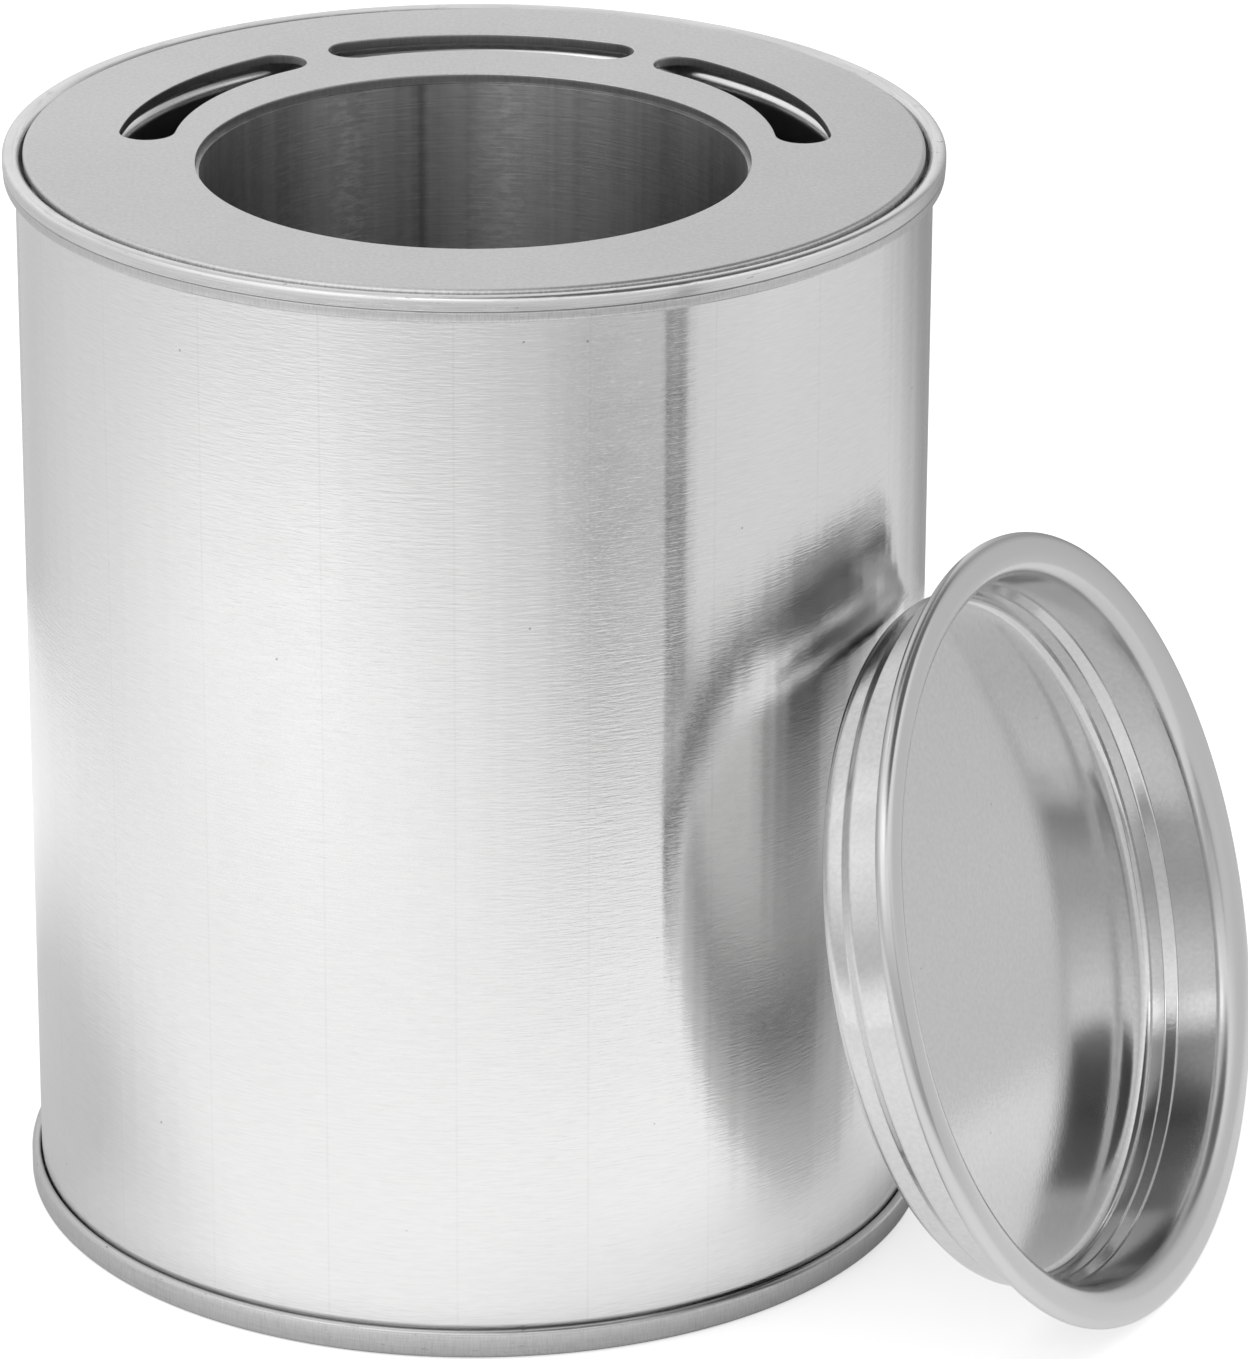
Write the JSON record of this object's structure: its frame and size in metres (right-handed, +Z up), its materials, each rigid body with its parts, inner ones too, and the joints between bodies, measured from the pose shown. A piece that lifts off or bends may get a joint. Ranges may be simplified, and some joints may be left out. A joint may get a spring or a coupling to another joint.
{
  "type": "window lid tin",
  "caption": "Round tinplate press-lid tin with a drop-in window insert that has curved finger slots and a collar, and its press-in lid leaning against the side.",
  "frame": {"origin": "centre of the plane that the tin stands on", "axes": "+Z up along the tin's axis, +Y to the back, towards the middle one of the finger slots, +X to the right"},
  "size_m": [0.1511, 0.1306, 0.1323],
  "materials": {
    "rolled_tinplate": "bright tinplate with a fine rolling grain",
    "end_tinplate": "bright tinplate, scuffed along the seam",
    "ring_tinplate": "bright tinplate, scuffed along the seam",
    "sealing_compound": "thin dried film",
    "insert_steel": "satin, even grey",
    "collar_steel": "dull grey with soft vertical reflections",
    "lid_tinplate": "bright panel, satin flange and a fine orange peel on the stretched plug wall"
  },
  "bodies": {
    "tin": {"body_shell": "rolled_tinplate", "base_end": "end_tinplate", "lever_ring": "ring_tinplate", "top_seam_compound": "sealing_compound", "base_seam_compound": "sealing_compound"},
    "insert": {"insert_plate": "insert_steel", "window_collar": "collar_steel"},
    "lid": {"lid": "lid_tinplate"}
  },
  "joints": [
    {"name": "insert_lift", "type": "slide", "parent": "tin", "child": "insert", "axis": [0, 0, 1], "range_m": [0, 0.05]},
    {"name": "lid_tip", "type": "hinge", "parent": "tin", "child": "lid", "pos_m": [0.08351, -0.03742, 0.0012], "axis": [0.4258, 0.9048, 0], "range_deg": [0, 107.45]}
  ]
}
